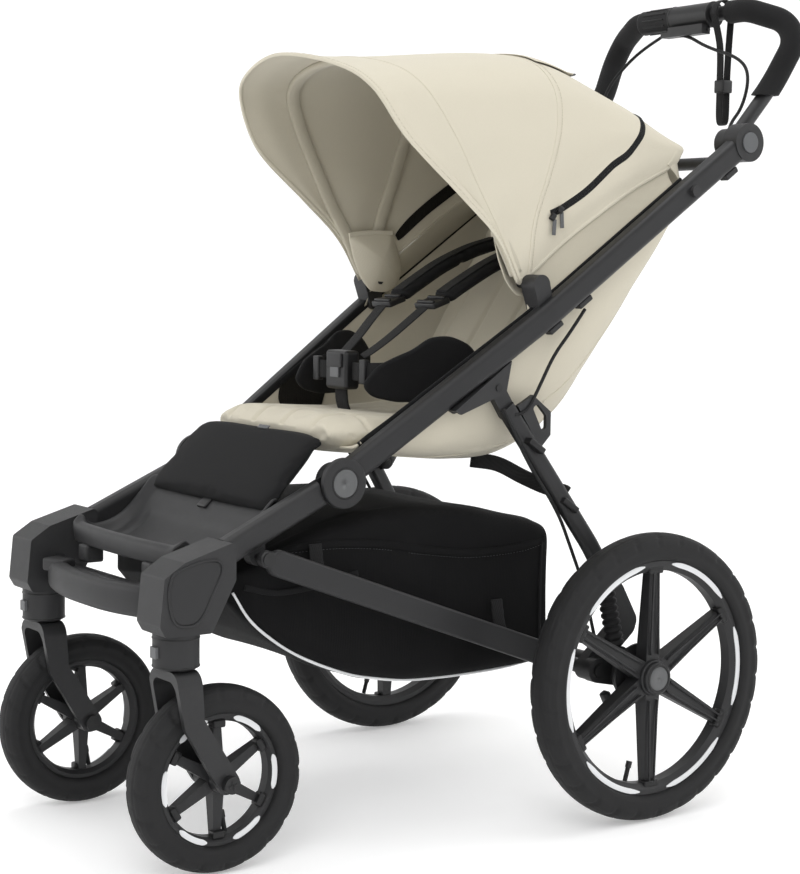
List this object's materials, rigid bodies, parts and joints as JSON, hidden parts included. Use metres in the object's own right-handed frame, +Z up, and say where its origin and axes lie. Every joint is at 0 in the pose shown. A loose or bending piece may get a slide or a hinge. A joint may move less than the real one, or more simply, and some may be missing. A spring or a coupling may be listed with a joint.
{
  "type": "baby stroller",
  "caption": "Folding pushchair with spoked air tyres, swivel front wheels, sprung rear axle, padded sling seat with harness, hooded canopy, basket and a tilting foam handlebar with twist brake.",
  "frame": {"origin": "middle of the whole object's box at floor level, under the basket", "axes": "+X to the stroller's left, -Y to its front, +Z up"},
  "size_m": [0.677, 1.125, 1.1731],
  "materials": {
    "tyre_rubber": "matt",
    "black_plastic": "matt",
    "grey_plastic": "satin",
    "frame_paint": "matt powder coat",
    "steel": "brushed",
    "foam_grip": "matt foam",
    "bellows_rubber": "matt",
    "cable_jacket": "satin",
    "black_fabric": "woven",
    "beige_fabric": "woven"
  },
  "bodies": {
    "front_frame": {"front_rails": "frame_paint", "caster_castings": "black_plastic", "cross_member": "black_plastic", "foot_tray": "black_plastic", "calf_panel": "black_fabric", "front_pins": "steel", "basket": "black_fabric"},
    "upper_frame": {"upper_rails": "frame_paint", "fold_covers": "black_plastic", "upper_pins": "steel", "cross_bar": "frame_paint", "leg_gussets": "black_plastic", "rail_clips": "black_plastic", "seat_pan": "beige_fabric", "seat_side_walls": "black_fabric", "harness_buckle": "black_plastic", "lap_straps": "black_fabric", "canopy_rear": "beige_fabric", "canopy_rear_bow": "black_plastic", "canopy_blocks": "black_plastic"},
    "backrest": {"backrest": "beige_fabric", "shoulder_pads": "black_fabric", "shoulder_sliders": "black_plastic", "harness_webbing": "black_fabric"},
    "buckle_button": {"buckle_button": "grey_plastic"},
    "canopy": {"canopy_front": "beige_fabric", "canopy_bow": "black_plastic"},
    "handlebar": {"handlebar_tube": "frame_paint", "handlebar_foam": "foam_grip", "brake_module": "black_plastic", "wrist_strap": "black_fabric", "handlebar_cables": "cable_jacket"},
    "brake_grip": {"brake_grip": "foam_grip"},
    "rear_legs": {"rear_legs": "frame_paint", "leg_feet": "black_plastic", "leg_brackets": "black_plastic", "arm_pins": "steel", "bellows": "bellows_rubber"},
    "lower_rails": {"lower_rails": "frame_paint"},
    "axle_carrier": {"swing_arms": "frame_paint", "rear_axle_tube": "frame_paint", "rear_axle_rod": "steel"},
    "rear_wheel_left": {"rear_tyre_left": "tyre_rubber", "rear_rim_left": "black_plastic", "rear_hub_cap_left": "black_plastic"},
    "rear_wheel_right": {"rear_tyre_right": "tyre_rubber", "rear_rim_right": "black_plastic", "rear_hub_cap_right": "black_plastic"},
    "fork_left": {"fork_left": "frame_paint", "front_axle_left": "steel"},
    "fork_right": {"fork_right": "frame_paint", "front_axle_right": "steel"},
    "front_wheel_left": {"front_tyre_left": "tyre_rubber", "front_rim_left": "black_plastic"},
    "front_wheel_right": {"front_tyre_right": "tyre_rubber", "front_rim_right": "black_plastic"},
    "caster_button_left": {"caster_button_left": "grey_plastic"},
    "caster_button_right": {"caster_button_right": "grey_plastic"},
    "handle_button_left": {"handle_button_left": "grey_plastic"},
    "handle_button_right": {"handle_button_right": "grey_plastic"}
  },
  "joints": [
    {"name": "fold", "type": "hinge", "parent": "front_frame", "child": "upper_frame", "pos_m": [0, -0.25549, 0.479], "axis": [1, 0, 0], "range_deg": [0, 90]},
    {"name": "leg_fold", "type": "hinge", "parent": "upper_frame", "child": "rear_legs", "pos_m": [0, -0.02349, 0.597], "axis": [1, 0, 0], "range_deg": [-23.8, 0]},
    {"name": "lower_rail_fold", "type": "hinge", "parent": "front_frame", "child": "lower_rails", "pos_m": [0, -0.37949, 0.392], "axis": [1, 0, 0], "range_deg": [0, 56.93]},
    {"name": "suspension", "type": "hinge", "parent": "rear_legs", "child": "axle_carrier", "pos_m": [0, 0.11851, 0.205], "axis": [1, 0, 0], "range_deg": [0, 3.5], "stiffness_Nm_per_rad": 150, "springref_deg": -1.72, "deforming": ["bellows"]},
    {"name": "recline", "type": "hinge", "parent": "upper_frame", "child": "backrest", "pos_m": [0, 0.08551, 0.524], "axis": [-1, 0, 0], "range_deg": [0, 22]},
    {"name": "canopy_fold", "type": "hinge", "parent": "upper_frame", "child": "canopy", "pos_m": [0, 0.04851, 0.735], "axis": [-1, 0, 0], "range_deg": [0, 30]},
    {"name": "handle_tilt", "type": "hinge", "parent": "upper_frame", "child": "handlebar", "pos_m": [0, 0.41951, 0.943], "axis": [1, 0, 0], "range_deg": [-50, 20]},
    {"name": "brake_twist", "type": "hinge", "parent": "handlebar", "child": "brake_grip", "pos_m": [0, 0.52351, 1.153], "axis": [1, 0, 0], "range_deg": [0, 30]},
    {"name": "rear_spin_left", "type": "hinge", "parent": "axle_carrier", "child": "rear_wheel_left", "pos_m": [0.315, 0.17001, 0.2], "axis": [1, 0, 0], "continuous": true},
    {"name": "rear_spin_right", "type": "hinge", "parent": "axle_carrier", "child": "rear_wheel_right", "pos_m": [-0.315, 0.17001, 0.2], "axis": [1, 0, 0], "continuous": true},
    {"name": "swivel_left", "type": "hinge", "parent": "front_frame", "child": "fork_left", "pos_m": [0.1887, -0.49799, 0.265], "axis": [0, 0, 1], "continuous": true},
    {"name": "front_spin_left", "type": "hinge", "parent": "fork_left", "child": "front_wheel_left", "pos_m": [0.1887, -0.44299, 0.1195], "axis": [1, 0, 0], "continuous": true},
    {"name": "caster_button_left", "type": "slide", "parent": "front_frame", "child": "caster_button_left", "axis": [0, 1, 0], "range_m": [0, 0.0028], "stiffness_N_per_m": 900, "springref_m": -0.002},
    {"name": "handle_button_left", "type": "slide", "parent": "upper_frame", "child": "handle_button_left", "axis": [-1, 0, 0], "range_m": [0, 0.0025], "stiffness_N_per_m": 900, "springref_m": -0.002},
    {"name": "swivel_right", "type": "hinge", "parent": "front_frame", "child": "fork_right", "pos_m": [-0.1887, -0.49799, 0.265], "axis": [0, 0, 1], "continuous": true},
    {"name": "front_spin_right", "type": "hinge", "parent": "fork_right", "child": "front_wheel_right", "pos_m": [-0.1887, -0.44299, 0.1195], "axis": [1, 0, 0], "continuous": true},
    {"name": "caster_button_right", "type": "slide", "parent": "front_frame", "child": "caster_button_right", "axis": [0, 1, 0], "range_m": [0, 0.0028], "stiffness_N_per_m": 900, "springref_m": -0.002},
    {"name": "handle_button_right", "type": "slide", "parent": "upper_frame", "child": "handle_button_right", "axis": [1, 0, 0], "range_m": [0, 0.0025], "stiffness_N_per_m": 900, "springref_m": -0.002},
    {"name": "buckle_press", "type": "slide", "parent": "upper_frame", "child": "buckle_button", "axis": [0, 1, 0], "range_m": [0, 0.0025], "stiffness_N_per_m": 900, "springref_m": -0.002}
  ],
  "couplings": [
    {"joint": "leg_fold", "follows": "fold", "ratio": -0.2633},
    {"joint": "lower_rail_fold", "follows": "fold", "ratio": 0.6314}
  ]
}
